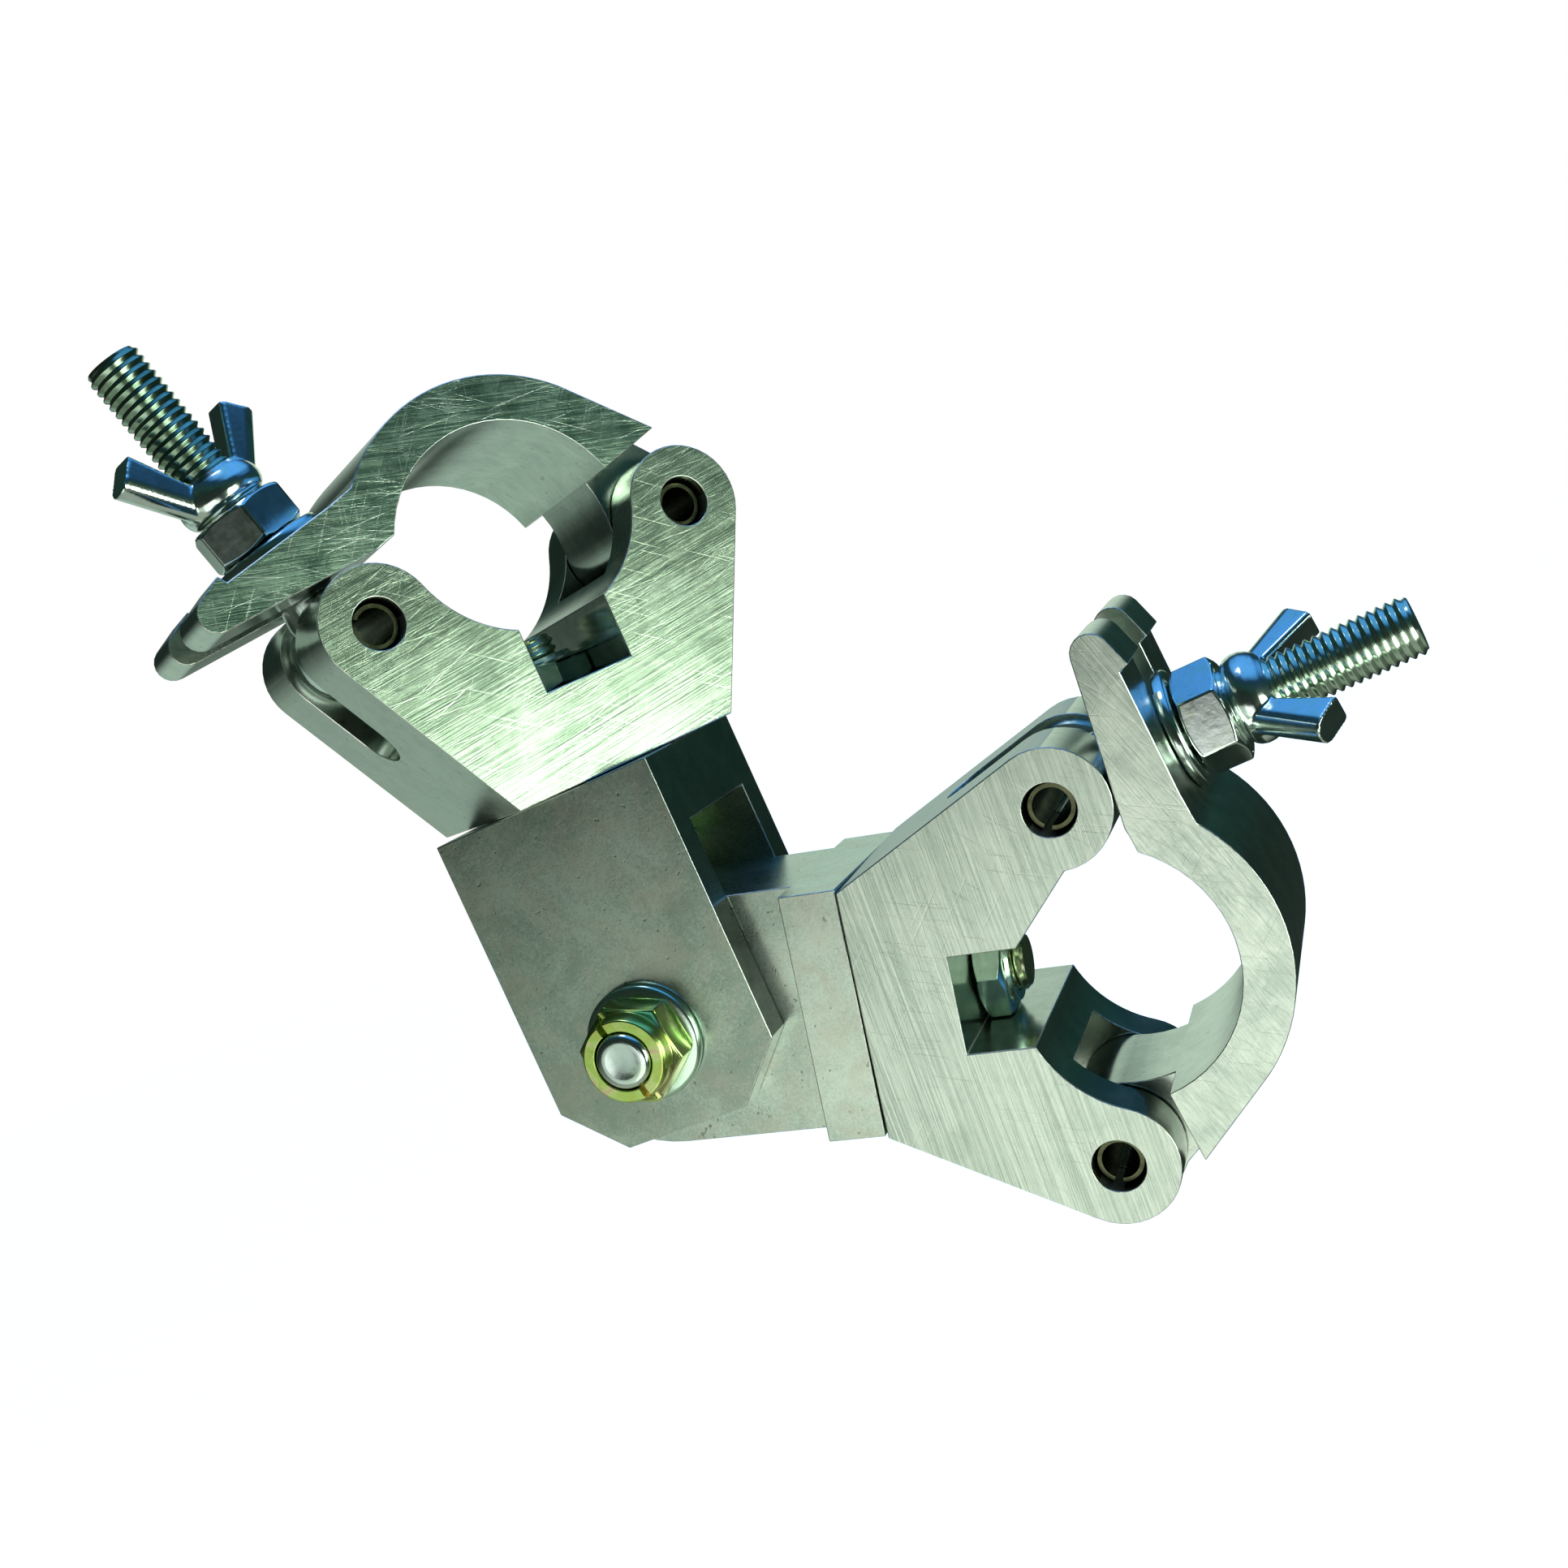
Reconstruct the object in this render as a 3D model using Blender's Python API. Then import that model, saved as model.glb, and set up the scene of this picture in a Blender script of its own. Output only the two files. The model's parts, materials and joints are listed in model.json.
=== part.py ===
"""Adjustable knuckle coupler: two half couplers for 48 to 51 mm tube, joined by a clevis and tongue.

The origin is the centre of the tube that coupler A grips. +Z runs along coupler A's mounting bolt,
from the knuckle towards that tube. +Y runs along the knuckle's pivot bolt, from its nut to its head,
and +X points to the side where the tongue carries coupler B.
Outlines are in millimetres in a piece's own X and Z, and become metres when a mesh is made.
"""

import math

import bmesh
import bpy
from mathutils import Matrix, Vector

MM = 0.001
GAP = 0.3                     # clearance between touching pieces

# half coupler, seen along its tube: the tube centre is the origin of its outline
WIDTH = 50.0                  # length of extrusion that each body is sawn from
SEAT_RADIUS = 25.2
PIN_OFFSET = 35.0             # both pins, either side of the tube centre
PIN_DROP = 12.0               # both pins, below the tube centre
EAR_RADIUS = math.hypot(PIN_OFFSET, PIN_DROP) - SEAT_RADIUS
BASE_DROP = 55.5              # tube centre to mounting face
BASE_HALF = 25.0
POCKET_HALF = 9.75            # nut pocket in the seat
POCKET_FLOOR = 18.9           # above the mounting face
FLAT_START = 3.0              # degrees round coupler B's ear where its flat flank begins
EYE_SLOT_HALF = 6.75
EYE_SLOT_END = 24.5           # above the mounting face, at the flank
HINGE_SLOT_HALF = 14.2
HINGE_SLOT_RADIUS = 19.5

# clamping arm, in the fully closed position
ARM_PIVOT_ARM = 37.3          # hinge pin to the centre of the arm's arc
ARM_PIVOT_ANGLE = 173.7
ARM_INNER = 25.0
ARM_OUTER = 34.4
FORK_SLOPE = 15.5             # degrees, top of the fork, square to the eye bolt
FORK_TOP = 22.8               # eye pin to the top of the fork
FORK_SLOT_HALF = 7.0
UNDERSIDE_SLOPE = 7.0
LIP_HEIGHT = 1.9
NOSE_RADIUS = 3.7
SHOULDER_TIP = (35.4, 4.2)
SHOULDER_ANGLE = 18.1         # degrees round the arm's arc where the shoulder begins
LUG_HALF = 13.5

# M12 fasteners
THREAD_RADIUS = 5.85
BORE_RADIUS = 6.2
PITCH = 1.75
ACROSS_FLATS = 18.8
HEAD_HEIGHT = 7.5
WASHER_RADIUS = 12.0
WASHER_THICK = 2.3
PIN_HOLE = 5.15
PIN_OUTER = 4.85
PIN_INNER = 3.6
PIN_LENGTH = 44.0
EYE_RADIUS = 10.3
EYE_HALF = 6.3
EYE_BOLT_LENGTH = 70.8
BOLT_STAND = {"a": 11.9, "b": 9.7}      # mounting bolt above the floor of the nut pocket

# knuckle: the pivot axis is the origin of its outline
PIVOT_TO_WEB_TOP = 51.9
PIVOT_TO_END = 19.6
WEB = 15.0
CHEEK = 8.2
CHEEK_CHAMFER = 11.2
TONGUE_HALF = 16.5
TONGUE_RADIUS = 25.0
FLANGE_INNER = 33.3
FLANGE_OUTER = 44.9
FLANGE_HALF = 25.0
COUNTERBORE_RADIUS = 9.7
COUNTERBORE_FLOOR = 26.0
CAP_HEAD_RADIUS = 9.0
CAP_HEAD_HEIGHT = 12.0

# the position that the joints stand in
SWIVEL_A = 47.0               # coupler A about its mounting bolt
KNUCKLE = 13.0                # tongue about the pivot bolt, downwards from square
SWIVEL_B = 1.5                # coupler B about its mounting bolt

FINISHES = {
    "extruded_aluminium": ((0.62, 0.64, 0.60), 0.32, 1.0),
    "satin_aluminium": ((0.44, 0.45, 0.42), 0.42, 1.0),
    "zinc_steel": ((0.62, 0.66, 0.70), 0.22, 1.0),
    "yellow_zinc": ((0.72, 0.62, 0.28), 0.30, 1.0),
    "spring_steel": ((0.50, 0.47, 0.34), 0.35, 1.0),
}


def clear_scene():
    for thing in list(bpy.data.objects):
        bpy.data.objects.remove(thing, do_unlink=True)


def make_material(node, finish):
    colour, roughness, metallic = FINISHES[finish]
    material = bpy.data.materials.new(node + "_finish")
    material.use_nodes = True
    shader = material.node_tree.nodes["Principled BSDF"]
    shader.inputs["Base Color"].default_value = (*colour, 1.0)
    shader.inputs["Roughness"].default_value = roughness
    shader.inputs["Metallic"].default_value = metallic
    return material


def make_empty(name, parent=None, place=Matrix.Identity(4)):
    empty = bpy.data.objects.new(name, None)
    bpy.context.scene.collection.objects.link(empty)
    empty.parent = parent
    empty.matrix_local = place
    return empty


def move(x=0.0, y=0.0, z=0.0):
    return Matrix.Translation((x * MM, y * MM, z * MM))


def turn(degrees, axis):
    return Matrix.Rotation(math.radians(degrees), 4, axis)


def point_at(centre, radius, degrees):
    angle = math.radians(degrees)
    return (centre[0] + radius * math.cos(angle), centre[1] + radius * math.sin(angle))


def arc(centre, radius, start, end, steps):
    return [point_at(centre, radius, start + (end - start) * i / steps) for i in range(steps + 1)]


def prism_mesh(outline, low, high):
    """A solid whose outline is in X and Z, counter-clockwise, and which runs from low to high in Y."""
    mesh = bmesh.new()
    near = [mesh.verts.new((x * MM, low * MM, z * MM)) for x, z in outline]
    far = [mesh.verts.new((x * MM, high * MM, z * MM)) for x, z in outline]
    mesh.faces.new(near)
    mesh.faces.new(list(reversed(far)))
    for i in range(len(outline)):
        j = (i + 1) % len(outline)
        mesh.faces.new((near[j], near[i], far[i], far[j]))
    bmesh.ops.recalc_face_normals(mesh, faces=mesh.faces)
    return mesh


def turned_mesh(profile, sides):
    """A solid turned about Z from a closed loop of (radius, height); a radius of 0 is on the axis."""
    mesh = bmesh.new()
    rings = []
    for radius, height in profile:
        if radius == 0.0:
            rings.append([mesh.verts.new((0.0, 0.0, height * MM))] * sides)
        else:
            ring = [point_at((0.0, 0.0), radius, 360.0 * i / sides) for i in range(sides)]
            rings.append([mesh.verts.new((x * MM, y * MM, height * MM)) for x, y in ring])
    for lower, upper in zip(rings, rings[1:] + rings[:1]):
        for i in range(sides):
            j = (i + 1) % sides
            corners = []
            for corner in (lower[i], lower[j], upper[j], upper[i]):
                if corner not in corners:
                    corners.append(corner)
            if len(corners) > 2:
                mesh.faces.new(corners)
    bmesh.ops.recalc_face_normals(mesh, faces=mesh.faces)
    return mesh


def ring_profile(outer, inner, low, high, bevel=0.0):
    return [(inner, low), (outer - bevel, low), (outer, low + bevel),
            (outer, high - bevel), (outer - bevel, high), (inner, high)]


def rod_profile(radius, low, high, bevel=0.0):
    return [(0.0, low), (radius - bevel, low), (radius, low + bevel),
            (radius, high - bevel), (radius - bevel, high), (0.0, high)]


def hexagon(across_flats, turn_by=0.0):
    return [point_at((0.0, 0.0), across_flats / math.sqrt(3.0), turn_by + 60.0 * i) for i in range(6)]


def put(node, mesh, parent, place=Matrix.Identity(4), finish=None, smooth=False):
    """Make an object from a mesh. One without a finish is a cutter or a tool for a Boolean."""
    data = bpy.data.meshes.new(node)
    bmesh.ops.remove_doubles(mesh, verts=mesh.verts, dist=1e-7)
    mesh.to_mesh(data)
    mesh.free()
    thing = bpy.data.objects.new(node, data)
    bpy.context.scene.collection.objects.link(thing)
    thing.parent = parent
    thing.matrix_local = place
    if finish:
        data.materials.append(make_material(node, finish))
    else:
        thing.hide_render = True
        thing.display_type = "WIRE"
    if smooth:
        data.shade_smooth()
        data.set_sharp_from_angle(angle=math.radians(35.0))
    return thing


def combine(target, tool, operation="DIFFERENCE"):
    step = target.modifiers.new(tool.name, "BOOLEAN")
    step.operation = operation
    step.solver = "EXACT"
    step.object = tool


def upright(mesh):
    """Lay a turned mesh over, so that its axis runs along +Y."""
    bmesh.ops.transform(mesh, matrix=turn(-90.0, "X"), verts=mesh.verts)
    return mesh


def drill(target, radius, centre, low, high, parent, sides=32):
    """Bore a hole along Y through a piece, at centre (x, z)."""
    tool = put(target.name + "_drill", upright(turned_mesh(rod_profile(radius, low, high), sides)),
               parent, move(centre[0], 0.0, centre[1]))
    combine(target, tool)


def bore_up(target, radius, low, high, parent, place=Matrix.Identity(4), sides=32):
    """Bore a hole along Z through a piece."""
    tool = put(target.name + "_bore", turned_mesh(rod_profile(radius, low, high), sides), parent, place)
    combine(target, tool)


def saddle_outline(flat_flank):
    """The body of a half coupler. flat_flank gives the seat a straight flank on the eye-bolt side."""
    hinge, eye = (PIN_OFFSET, -PIN_DROP), (-PIN_OFFSET, -PIN_DROP)
    tangent = math.degrees(math.atan2(PIN_DROP, PIN_OFFSET))
    reach = math.hypot(PIN_OFFSET - BASE_HALF, BASE_DROP - PIN_DROP)
    lean = math.degrees(math.atan2(PIN_OFFSET - BASE_HALF, BASE_DROP - PIN_DROP))
    flank = lean + math.degrees(math.asin(EAR_RADIUS / reach))
    pocket = math.degrees(math.acos(POCKET_HALF / SEAT_RADIUS))
    floor = POCKET_FLOOR - BASE_DROP
    outline = [(-BASE_HALF, -BASE_DROP), (BASE_HALF, -BASE_DROP)]
    outline += arc(hinge, EAR_RADIUS, -flank, 180.0 - tangent, 20)
    outline += arc((0.0, 0.0), SEAT_RADIUS, -tangent, -pocket, 12)[1:]
    outline += [(POCKET_HALF, floor), (-POCKET_HALF, floor)]
    if flat_flank:
        outline.append(point_at((0.0, 0.0), SEAT_RADIUS, pocket - 180.0))
        outline += arc(eye, EAR_RADIUS, FLAT_START, 180.0 + flank, 20)
    else:
        outline += arc((0.0, 0.0), SEAT_RADIUS, pocket - 180.0, tangent - 180.0, 12)[:-1]
        outline += arc(eye, EAR_RADIUS, tangent, 180.0 + flank, 20)
    return outline, flank


def stadium(half, bottom, top, steps=10):
    """A slot seen square on: a round lower end at bottom, and a square upper end at top."""
    return arc((0.0, bottom + half), half, 180.0, 360.0, steps) + [(half, top), (-half, top)]


def make_saddle(side, frame, flat_flank):
    outline, flank = saddle_outline(flat_flank)
    saddle = put("saddle_" + side, prism_mesh(outline, -WIDTH / 2, WIDTH / 2), frame,
                 finish="extruded_aluminium", smooth=True)
    for centre in ((PIN_OFFSET, -PIN_DROP), (-PIN_OFFSET, -PIN_DROP)):
        drill(saddle, PIN_HOLE, centre, -WIDTH, WIDTH, frame)
    bore_up(saddle, BORE_RADIUS, -BASE_DROP - 5.0, POCKET_FLOOR - BASE_DROP + 5.0, frame)
    slot = turned_mesh(rod_profile(HINGE_SLOT_RADIUS, -HINGE_SLOT_HALF, HINGE_SLOT_HALF), 48)
    combine(saddle, put("hinge_slot_" + side, upright(slot), frame, move(PIN_OFFSET, 0.0, -PIN_DROP)))
    # the eye slot is milled square to the flank, right through the ear
    depth = 2.0 * EAR_RADIUS + 0.2
    along = (EYE_SLOT_END - (BASE_DROP - PIN_DROP)) / math.cos(math.radians(flank))
    slot = prism_mesh(stadium(EYE_SLOT_HALF, along, 2.0 * EAR_RADIUS), -5.0, depth)
    place = move(-PIN_OFFSET, 0.0, -PIN_DROP) @ turn(-flank, "Y") @ turn(-90.0, "Z")
    combine(saddle, put("eye_slot_" + side, slot, frame, place @ move(0.0, -EAR_RADIUS, 0.0)))
    return saddle


def arm_outline():
    """The clamping arm with its hinge lug, closed, in the coupler's X and Z."""
    hinge, eye = (PIN_OFFSET, -PIN_DROP), (-PIN_OFFSET, -PIN_DROP)
    centre = point_at(hinge, ARM_PIVOT_ARM, ARM_PIVOT_ANGLE)
    lug = ARM_PIVOT_ARM - ARM_INNER
    slope, under = math.radians(FORK_SLOPE), math.radians(UNDERSIDE_SLOPE)

    def on_fork(along, above):
        return (eye[0] + along * math.cos(slope) - above * math.sin(slope),
                eye[1] + along * math.sin(slope) + above * math.cos(slope))

    def on_underside(along, above):
        above += EAR_RADIUS + GAP
        return (eye[0] + along * math.cos(under) - above * math.sin(under),
                eye[1] + along * math.sin(under) + above * math.cos(under))

    nose = on_underside(-25.4, NOSE_RADIUS)
    outline = [SHOULDER_TIP]
    outline += arc(centre, ARM_OUTER, 50.0, 141.0, 22)
    outline += [on_fork(7.2, FORK_TOP), on_fork(-17.5, FORK_TOP), on_fork(-18.2, FORK_TOP + LIP_HEIGHT)]
    outline += arc(nose, NOSE_RADIUS, 125.0, 270.0 + UNDERSIDE_SLOPE, 8)
    outline += [on_underside(7.0, 0.0), on_underside(9.2, 0.55)]
    outline += arc(centre, ARM_INNER, 155.5, ARM_PIVOT_ANGLE - 180.0, 26)
    outline += arc(hinge, lug, ARM_PIVOT_ANGLE, 425.0, 22)[1:]
    return outline, centre


def make_arm(side, frame):
    outline, centre = arm_outline()
    hinge = move(PIN_OFFSET, 0.0, -PIN_DROP)
    from_hinge = hinge.inverted()
    arm = put("clamp_arm_" + side, prism_mesh(outline, -WIDTH / 2, WIDTH / 2), frame,
              finish="extruded_aluminium", smooth=True)
    # the lug is narrower than the arm: a step is sawn away each side, below the shoulder
    inner = Vector(point_at(centre, ARM_INNER, SHOULDER_ANGLE))
    tip = Vector(SHOULDER_TIP)
    along = (tip - inner).normalized()
    low, high = inner - 6.0 * along, tip + 20.0 * along
    step = [(low.x, low.y), (low.x, low.y - 40.0), (high.x, low.y - 40.0), (high.x, high.y)]
    for name, near, far in (("near", -WIDTH, -LUG_HALF), ("far", LUG_HALF, WIDTH)):
        combine(arm, put("lug_step_" + name + "_" + side, prism_mesh(step, near, far), frame))
    drill(arm, PIN_HOLE, (PIN_OFFSET, -PIN_DROP), -WIDTH, WIDTH, frame)
    # the fork slot is open at the nose and round where it ends behind the eye bolt
    slot = prism_mesh(stadium(FORK_SLOT_HALF, -8.0, 60.0), 8.0, 40.0)
    place = move(-PIN_OFFSET, 0.0, -PIN_DROP) @ turn(-FORK_SLOPE, "Y") @ turn(-90.0, "Z") @ turn(90.0, "X")
    combine(arm, put("fork_slot_" + side, slot, frame, place))
    # the arm's origin goes to its hinge
    arm.data.transform(from_hinge)
    arm.matrix_local = hinge
    return arm


def make_spring_pin(node, frame, offset, opening):
    """A slotted spring pin: a C-shaped tube with its opening turned to an angle."""
    half = math.degrees(math.asin(0.9 / PIN_OUTER))
    outer = arc((0.0, 0.0), PIN_OUTER, opening + half, opening + 360.0 - half, 24)
    inner = arc((0.0, 0.0), PIN_INNER, opening + 360.0 - half * 1.4, opening + half * 1.4, 24)
    put(node, prism_mesh(outer + inner, -PIN_LENGTH / 2, PIN_LENGTH / 2), frame,
        move(offset, 0.0, -PIN_DROP), "spring_steel", smooth=True)


def make_eye_bolt(side, hub):
    shank = rod_profile(THREAD_RADIUS, EYE_RADIUS - 4.0, EYE_BOLT_LENGTH, 1.0)
    bolt = put("eye_bolt_" + side, turned_mesh(shank, 32), hub, finish="zinc_steel", smooth=True)
    eye = upright(turned_mesh(rod_profile(EYE_RADIUS, -EYE_HALF, EYE_HALF, 1.2), 36))
    combine(bolt, put("eye_" + side, eye, hub), "UNION")
    drill(bolt, PIN_HOLE, (0.0, 0.0), -WIDTH, WIDTH, hub)


def make_washer(node, parent, place, finish="zinc_steel"):
    profile = ring_profile(WASHER_RADIUS, BORE_RADIUS, 0.0, WASHER_THICK, 0.4)
    put(node, turned_mesh(profile, 40), parent, place, finish, smooth=True)


def make_wing_nut(side, parent, place, wing_turn):
    """A wing nut with a hexagon base, made along +Z from its bearing face."""
    hexagon_top, hub_top = 9.0, 17.4
    body = prism_mesh(hexagon(ACROSS_FLATS, -wing_turn), 0.0, hexagon_top)
    bmesh.ops.transform(body, matrix=turn(90.0, "X"), verts=body.verts)
    nut = put("wing_nut_" + side, body, parent, place, "zinc_steel", smooth=True)
    hub = [(0.0, hexagon_top - 2.0), (8.4, hexagon_top - 2.0), (8.4, hexagon_top + 0.8),
           (9.2, hexagon_top + 2.0), (9.2, hexagon_top + 4.0), (8.4, hexagon_top + 6.4),
           (7.2, hub_top), (0.0, hub_top)]
    combine(nut, put("wing_hub_" + side, turned_mesh(hub, 32), parent, place), "UNION")
    wing = [(3.0, 10.2), (8.6, 10.0), (19.6, 21.8), (19.9, 23.2), (14.6, 28.2), (13.2, 28.0), (5.0, 15.2)]
    for name, half_turn in (("left", 0.0), ("right", 180.0)):
        blade = put("wing_" + name + "_" + side, prism_mesh(wing, -2.8, 2.8), parent,
                    place @ turn(wing_turn + half_turn, "Z"))
        combine(nut, blade, "UNION")
    bore_up(nut, BORE_RADIUS, -2.0, hub_top + 2.0, parent, place)


def make_lock_nut(node, parent, place, finish, hexagon_height, collar_height):
    """A hexagon nut with a slotted collar that pinches the thread, along +Z from its bearing face."""
    body = prism_mesh(hexagon(ACROSS_FLATS, 30.0), 0.0, hexagon_height)
    bmesh.ops.transform(body, matrix=turn(90.0, "X"), verts=body.verts)
    nut = put(node, body, parent, place, finish, smooth=True)
    top = hexagon_height + collar_height
    collar = [(0.0, hexagon_height - 2.0), (8.7, hexagon_height - 2.0), (8.7, hexagon_height),
              (7.7, top - 0.6), (7.4, top), (0.0, top)]
    combine(nut, put(node + "_collar", turned_mesh(collar, 32), parent, place), "UNION")
    bore_up(nut, BORE_RADIUS, -2.0, top + 2.0, parent, place)
    slot = prism_mesh([(-15.0, hexagon_height), (15.0, hexagon_height), (15.0, top + 2.0), (-15.0, top + 2.0)],
                      -0.8, 0.8)
    combine(nut, put(node + "_slot", slot, parent, place))


def make_hex_bolt(node, parent, place, length, finish):
    """A hexagon-head bolt with its head's bearing face at the origin and its shank along +Z."""
    head = prism_mesh(hexagon(ACROSS_FLATS, 30.0), 0.0, HEAD_HEIGHT)
    bmesh.ops.transform(head, matrix=turn(-90.0, "X"), verts=head.verts)
    bolt = put(node, head, parent, place, finish, smooth=True)
    shank = rod_profile(THREAD_RADIUS, -3.0, length, 1.0)
    combine(bolt, put(node + "_shank", turned_mesh(shank, 32), parent, place), "UNION")


def make_cap_screw(node, parent, place, length, finish):
    """A socket-head screw with its head's bearing face at the origin and its shank along +Z."""
    profile = [(0.0, -CAP_HEAD_HEIGHT), (CAP_HEAD_RADIUS - 1.0, -CAP_HEAD_HEIGHT),
               (CAP_HEAD_RADIUS, -CAP_HEAD_HEIGHT + 1.0), (CAP_HEAD_RADIUS, 0.0), (THREAD_RADIUS, 0.0),
               (THREAD_RADIUS, length - 1.0), (THREAD_RADIUS - 1.0, length), (0.0, length)]
    screw = put(node, turned_mesh(profile, 32), parent, place, finish, smooth=True)
    socket = prism_mesh(hexagon(10.0), CAP_HEAD_HEIGHT - 6.0, CAP_HEAD_HEIGHT + 2.0)
    bmesh.ops.transform(socket, matrix=turn(-90.0, "X"), verts=socket.verts)
    combine(screw, put(node + "_socket", socket, parent, place))


def make_coupler(side, frame, flat_flank, wing_turn):
    """Everything that a half coupler carries, apart from its mounting bolt."""
    make_saddle(side, frame, flat_flank)
    make_arm(side, frame)
    make_spring_pin("hinge_pin_" + side, frame, PIN_OFFSET, 20.0)
    make_spring_pin("eye_pin_" + side, frame, -PIN_OFFSET, 140.0)
    hub = make_empty("eye_bolt_axis_" + side, frame,
                     move(-PIN_OFFSET, 0.0, -PIN_DROP) @ turn(-FORK_SLOPE, "Y"))
    make_eye_bolt(side, hub)
    make_washer("clamp_washer_" + side, hub, move(z=FORK_TOP + GAP))
    base = FORK_TOP + WASHER_THICK + 2.0 * GAP
    make_wing_nut(side, hub, move(z=base), wing_turn)
    make_lock_nut("mount_nut_" + side, frame, move(z=POCKET_FLOOR - BASE_DROP + GAP), "zinc_steel", 5.8, 1.2)


def make_clevis(frame):
    top, end, half = PIVOT_TO_WEB_TOP, -PIVOT_TO_END, WIDTH / 2
    cut = CHEEK_CHAMFER
    outline = [(-half + cut, end), (half - cut, end), (half, end + cut), (half, top),
               (-half, top), (-half, end + cut)]
    clevis = put("clevis", prism_mesh(outline, -half, half), frame, finish="satin_aluminium")
    gap = half - CHEEK
    slot = [(-WIDTH, end - 5.0), (WIDTH, end - 5.0), (WIDTH, top - WEB), (-WIDTH, top - WEB)]
    combine(clevis, put("clevis_slot", prism_mesh(slot, -gap, gap), frame))
    drill(clevis, BORE_RADIUS, (0.0, 0.0), -WIDTH, WIDTH, frame)
    bore_up(clevis, BORE_RADIUS, top - WEB - 5.0, top + 5.0, frame)


def make_tongue(frame):
    """The T-shaped tongue block: +X runs from the pivot to the flange that carries coupler B."""
    outline = arc((0.0, 0.0), TONGUE_RADIUS, 90.0, 270.0, 24)
    outline += [(FLANGE_OUTER, -FLANGE_HALF), (FLANGE_OUTER, FLANGE_HALF)]
    tongue = put("tongue_block", prism_mesh(outline, -WIDTH / 2, WIDTH / 2), frame,
                 finish="extruded_aluminium", smooth=True)
    step = [(-40.0, -30.0), (FLANGE_INNER, -30.0), (FLANGE_INNER, 30.0), (-40.0, 30.0)]
    for name, near, far in (("near", -WIDTH, -TONGUE_HALF), ("far", TONGUE_HALF, WIDTH)):
        combine(tongue, put("tongue_step_" + name, prism_mesh(step, near, far), frame))
    drill(tongue, BORE_RADIUS, (0.0, 0.0), -WIDTH, WIDTH, frame)
    along = turn(90.0, "Y")
    bore_up(tongue, BORE_RADIUS, COUNTERBORE_FLOOR - 5.0, FLANGE_OUTER + 5.0, frame, along)
    tool = turned_mesh(rod_profile(COUNTERBORE_RADIUS, -40.0, COUNTERBORE_FLOOR), 32)
    combine(tongue, put("tongue_counterbore", tool, frame, along))


def make_pivot(frame):
    """The pivot bolt and what is on it. Its head is on the +Y side."""
    half = WIDTH / 2
    near = turn(90.0, "X")
    far = turn(-90.0, "X")
    make_washer("pivot_nut_washer", frame, near @ move(z=half + GAP))
    make_washer("pivot_head_washer", frame, far @ move(z=half + GAP))
    seat = half + WASHER_THICK + 2.0 * GAP
    make_hex_bolt("pivot_bolt", frame, near @ move(z=-seat), seat + 39.3, "zinc_steel")
    make_lock_nut("pivot_lock_nut", frame, near @ turn(-8.0, "Z") @ move(z=seat), "yellow_zinc", 7.0, 3.4)


def build():
    clear_scene()
    coupler_a = make_empty("coupler_a", place=turn(SWIVEL_A, "Z"))
    make_coupler("a", coupler_a, False, 23.0)

    knuckle = make_empty("knuckle", place=move(z=-BASE_DROP - GAP - PIVOT_TO_WEB_TOP))
    make_clevis(knuckle)
    make_pivot(knuckle)
    web_under = PIVOT_TO_WEB_TOP - WEB
    stand = WEB + GAP + POCKET_FLOOR + BOLT_STAND["a"]
    make_hex_bolt("mount_bolt_a", coupler_a, move(z=-BASE_DROP - GAP - WEB - GAP), stand + GAP, "yellow_zinc")

    tongue = make_empty("tongue", knuckle, turn(KNUCKLE, "Y"))
    make_tongue(tongue)
    # coupler B stands on the flange, its tube side outwards and its eye bolt upwards
    place = turn(90.0, "Y") @ move(z=FLANGE_OUTER + GAP + BASE_DROP) @ turn(SWIVEL_B, "Z")
    coupler_b = make_empty("coupler_b", tongue, place)
    make_coupler("b", coupler_b, True, -62.0)
    depth = FLANGE_OUTER - COUNTERBORE_FLOOR
    make_cap_screw("mount_bolt_b", coupler_b, move(z=-BASE_DROP - GAP - depth - GAP),
                   depth + GAP + POCKET_FLOOR + BOLT_STAND["b"], "yellow_zinc")
    bpy.context.view_layer.update()


build()
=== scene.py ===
"""Looks for the adjustable knuckle coupler: finer metalwork, worn metal finishes, camera and light.

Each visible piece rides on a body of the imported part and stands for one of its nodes.
The couplers, the bolts and the knuckle have their own frames, worked out from the part's joints.
Shapes are written in millimetres in those frames, and become metres when a mesh is made.
"""

import json
import math

import bmesh
import bpy
from mathutils import Euler, Matrix, Vector


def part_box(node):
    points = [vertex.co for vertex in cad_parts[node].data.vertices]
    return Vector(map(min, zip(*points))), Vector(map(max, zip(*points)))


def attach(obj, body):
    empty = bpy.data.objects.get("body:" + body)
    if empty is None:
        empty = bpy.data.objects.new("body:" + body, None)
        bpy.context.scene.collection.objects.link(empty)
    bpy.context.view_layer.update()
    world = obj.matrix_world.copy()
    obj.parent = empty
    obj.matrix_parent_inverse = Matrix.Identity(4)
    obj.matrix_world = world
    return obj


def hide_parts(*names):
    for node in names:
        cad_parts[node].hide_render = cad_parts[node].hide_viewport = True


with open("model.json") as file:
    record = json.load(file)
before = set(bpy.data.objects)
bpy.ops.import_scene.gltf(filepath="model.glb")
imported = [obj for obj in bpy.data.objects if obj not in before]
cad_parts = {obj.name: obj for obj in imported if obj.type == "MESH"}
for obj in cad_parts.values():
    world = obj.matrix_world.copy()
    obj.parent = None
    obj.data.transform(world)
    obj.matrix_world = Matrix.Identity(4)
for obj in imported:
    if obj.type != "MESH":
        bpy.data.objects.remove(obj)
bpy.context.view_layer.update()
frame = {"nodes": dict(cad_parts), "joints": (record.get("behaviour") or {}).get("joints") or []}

MM = 0.001
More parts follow.
